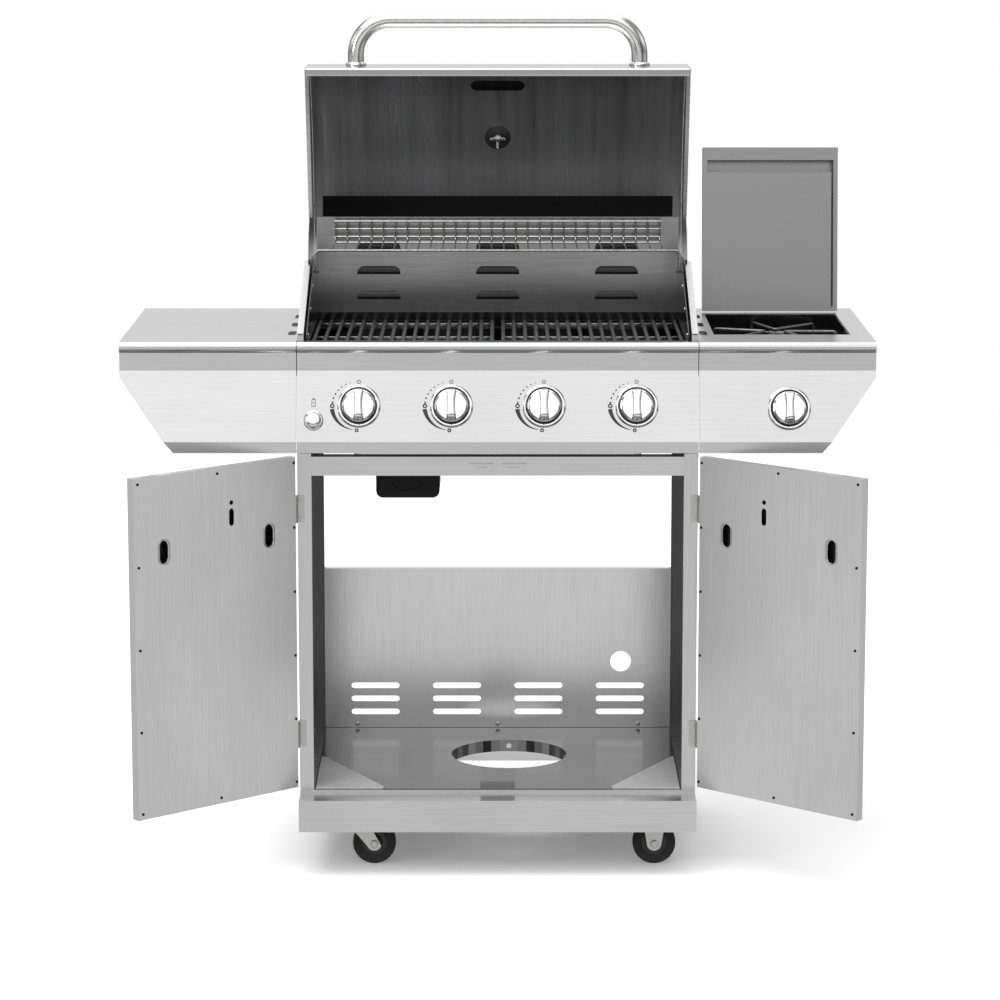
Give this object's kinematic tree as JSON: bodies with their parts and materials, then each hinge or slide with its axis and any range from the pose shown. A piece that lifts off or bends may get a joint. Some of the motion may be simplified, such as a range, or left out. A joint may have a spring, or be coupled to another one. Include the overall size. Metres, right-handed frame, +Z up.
{
  "type": "gas barbecue grill",
  "caption": "Cabinet gas barbecue grill with hinged lid, side shelves, a side burner under its own lid, and two doors, on casters.",
  "frame": {"origin": "on the floor, under the middle of the whole open grill", "axes": "+X to the cook's right, +Y to the back, +Z up"},
  "size_m": [1.3, 0.8664, 1.471],
  "materials": {
    "brushed": "brushed stainless sheet",
    "bright_front": "fine satin stainless sheet",
    "polished": "polished chrome plate",
    "enamel": "black porcelain enamel",
    "iron": "dark cast iron and enamelled rod",
    "rubber": "black rubber tread",
    "black_plastic": "black painted pressed steel"
  },
  "bodies": {
    "frame": {"base_frame": "brushed", "bottom_panel": "brushed", "side_panel_left": "brushed", "side_panel_right": "brushed", "rear_panel": "brushed", "header_beam": "brushed", "caster_fork_front_right": "enamel", "caster_fork_rear_right": "enamel", "control_panel": "bright_front", "shelf_left": "bright_front", "shelf_right": "bright_front", "firebox": "enamel", "rear_baffle": "brushed", "firebox_end_left": "brushed", "firebox_end_right": "brushed", "burner_rail": "brushed", "flame_tamer_1": "brushed", "flame_tamer_2": "brushed", "flame_tamer_3": "brushed", "flame_tamer_4": "brushed", "hinge_lower_left": "brushed", "hinge_lower_right": "brushed", "hinge_upper_left": "brushed", "hinge_upper_right": "brushed", "side_burner_bowl": "enamel", "side_burner": "iron"},
    "lid": {"lid_shell": "brushed", "lid_end_left": "brushed", "lid_end_right": "brushed", "lid_handle": "polished", "thermometer": "polished"},
    "side_lid": {"side_lid": "brushed"},
    "door_left": {"door_left": "brushed", "door_handle_left": "polished"},
    "door_right": {"door_right": "brushed", "door_handle_right": "polished"},
    "knob_stem_1": {"knob_stem_1": "brushed"},
    "knob_1": {"knob_1": "polished"},
    "knob_stem_2": {"knob_stem_2": "brushed"},
    "knob_2": {"knob_2": "polished"},
    "knob_stem_3": {"knob_stem_3": "brushed"},
    "knob_3": {"knob_3": "polished"},
    "knob_stem_4": {"knob_stem_4": "brushed"},
    "knob_4": {"knob_4": "polished"},
    "knob_stem_5": {"knob_stem_5": "brushed"},
    "knob_5": {"knob_5": "polished"},
    "igniter_button": {"igniter_button": "polished"},
    "caster_front_left": {"caster_fork_front_left": "enamel"},
    "wheel_front_left": {"wheel_front_left": "rubber"},
    "wheel_front_right": {"wheel_front_right": "rubber"},
    "caster_rear_left": {"caster_fork_rear_left": "enamel"},
    "wheel_rear_left": {"wheel_rear_left": "rubber"},
    "wheel_rear_right": {"wheel_rear_right": "rubber"},
    "cooking_grate_left": {"cooking_grate_left": "iron"},
    "cooking_grate_right": {"cooking_grate_right": "iron"},
    "warming_rack": {"warming_rack": "polished"},
    "trivet": {"trivet": "enamel"},
    "grease_tray": {"grease_tray": "brushed"},
    "grease_cup": {"grease_cup": "black_plastic"}
  },
  "joints": [
    {"name": "lid_hinge", "type": "hinge", "parent": "frame", "child": "lid", "pos_m": [0, 0.21823, 0.99], "axis": [-1, 0, 0], "range_deg": [-90, 0]},
    {"name": "side_lid_hinge", "type": "hinge", "parent": "frame", "child": "side_lid", "pos_m": [0.4955, 0.22623, 0.9345], "axis": [-1, 0, 0], "range_deg": [-97, 0]},
    {"name": "door_left_hinge", "type": "hinge", "parent": "frame", "child": "door_left", "pos_m": [-0.348, -0.19877, 0.4415], "axis": [0, 0, -1], "range_deg": [-138.5, 21.5]},
    {"name": "door_right_hinge", "type": "hinge", "parent": "frame", "child": "door_right", "pos_m": [0.348, -0.19877, 0.4415], "axis": [0, 0, 1], "range_deg": [-138.5, 21.5]},
    {"name": "knob_1_push", "type": "slide", "parent": "frame", "child": "knob_stem_1", "axis": [0, 0.9594, -0.2822], "range_m": [0, 0.003], "stiffness_N_per_m": 700, "springref_m": -0.003},
    {"name": "knob_1_turn", "type": "hinge", "parent": "knob_stem_1", "child": "knob_1", "pos_m": [-0.2385, -0.19471, 0.82082], "axis": [0, -0.9594, 0.2822], "range_deg": [0, 180]},
    {"name": "knob_2_push", "type": "slide", "parent": "frame", "child": "knob_stem_2", "axis": [0, 0.9594, -0.2822], "range_m": [0, 0.003], "stiffness_N_per_m": 700, "springref_m": -0.003},
    {"name": "knob_2_turn", "type": "hinge", "parent": "knob_stem_2", "child": "knob_2", "pos_m": [-0.0795, -0.19471, 0.82082], "axis": [0, -0.9594, 0.2822], "range_deg": [0, 180]},
    {"name": "knob_3_push", "type": "slide", "parent": "frame", "child": "knob_stem_3", "axis": [0, 0.9594, -0.2822], "range_m": [0, 0.003], "stiffness_N_per_m": 700, "springref_m": -0.003},
    {"name": "knob_3_turn", "type": "hinge", "parent": "knob_stem_3", "child": "knob_3", "pos_m": [0.0795, -0.19471, 0.82082], "axis": [0, -0.9594, 0.2822], "range_deg": [0, 180]},
    {"name": "knob_4_push", "type": "slide", "parent": "frame", "child": "knob_stem_4", "axis": [0, 0.9594, -0.2822], "range_m": [0, 0.003], "stiffness_N_per_m": 700, "springref_m": -0.003},
    {"name": "knob_4_turn", "type": "hinge", "parent": "knob_stem_4", "child": "knob_4", "pos_m": [0.2385, -0.19471, 0.82082], "axis": [0, -0.9594, 0.2822], "range_deg": [0, 180]},
    {"name": "knob_5_push", "type": "slide", "parent": "frame", "child": "knob_stem_5", "axis": [0, 0.9594, -0.2822], "range_m": [0, 0.003], "stiffness_N_per_m": 700, "springref_m": -0.003},
    {"name": "knob_5_turn", "type": "hinge", "parent": "knob_stem_5", "child": "knob_5", "pos_m": [0.5, -0.19589, 0.81682], "axis": [0, -0.9594, 0.2822], "range_deg": [0, 180]},
    {"name": "igniter_press", "type": "slide", "parent": "frame", "child": "igniter_button", "axis": [0, 0.9594, -0.2822], "range_m": [0, 0.005], "stiffness_N_per_m": 500, "springref_m": -0.003},
    {"name": "swivel_front_left", "type": "hinge", "parent": "frame", "child": "caster_front_left", "pos_m": [-0.25, -0.15477, 0.09], "axis": [0, 0, 1], "continuous": true},
    {"name": "wheel_front_left_spin", "type": "hinge", "parent": "caster_front_left", "child": "wheel_front_left", "pos_m": [-0.217, -0.15477, 0.038], "axis": [0, 1, 0], "continuous": true},
    {"name": "wheel_front_right_spin", "type": "hinge", "parent": "frame", "child": "wheel_front_right", "pos_m": [0.275, -0.15477, 0.038], "axis": [0, 1, 0], "continuous": true},
    {"name": "swivel_rear_left", "type": "hinge", "parent": "frame", "child": "caster_rear_left", "pos_m": [-0.25, 0.17523, 0.09], "axis": [0, 0, 1], "continuous": true},
    {"name": "wheel_rear_left_spin", "type": "hinge", "parent": "caster_rear_left", "child": "wheel_rear_left", "pos_m": [-0.217, 0.17523, 0.038], "axis": [0, 1, 0], "continuous": true},
    {"name": "wheel_rear_right_spin", "type": "hinge", "parent": "frame", "child": "wheel_rear_right", "pos_m": [0.275, 0.17523, 0.038], "axis": [0, 1, 0], "continuous": true},
    {"name": "grate_left_lift", "type": "slide", "parent": "frame", "child": "cooking_grate_left", "axis": [0, 0, 1], "range_m": [0, 0.1]},
    {"name": "grate_right_lift", "type": "slide", "parent": "frame", "child": "cooking_grate_right", "axis": [0, 0, 1], "range_m": [0, 0.1]},
    {"name": "rack_lift", "type": "slide", "parent": "frame", "child": "warming_rack", "axis": [0, 0, 1], "range_m": [0, 0.05]},
    {"name": "trivet_lift", "type": "slide", "parent": "frame", "child": "trivet", "axis": [0, 0, 1], "range_m": [0, 0.06]},
    {"name": "grease_tray_slide", "type": "slide", "parent": "frame", "child": "grease_tray", "axis": [0, 1, 0], "range_m": [0, 0.3]},
    {"name": "grease_cup_slide", "type": "slide", "parent": "grease_tray", "child": "grease_cup", "axis": [0, -1, 0], "range_m": [0, 0.085]}
  ]
}
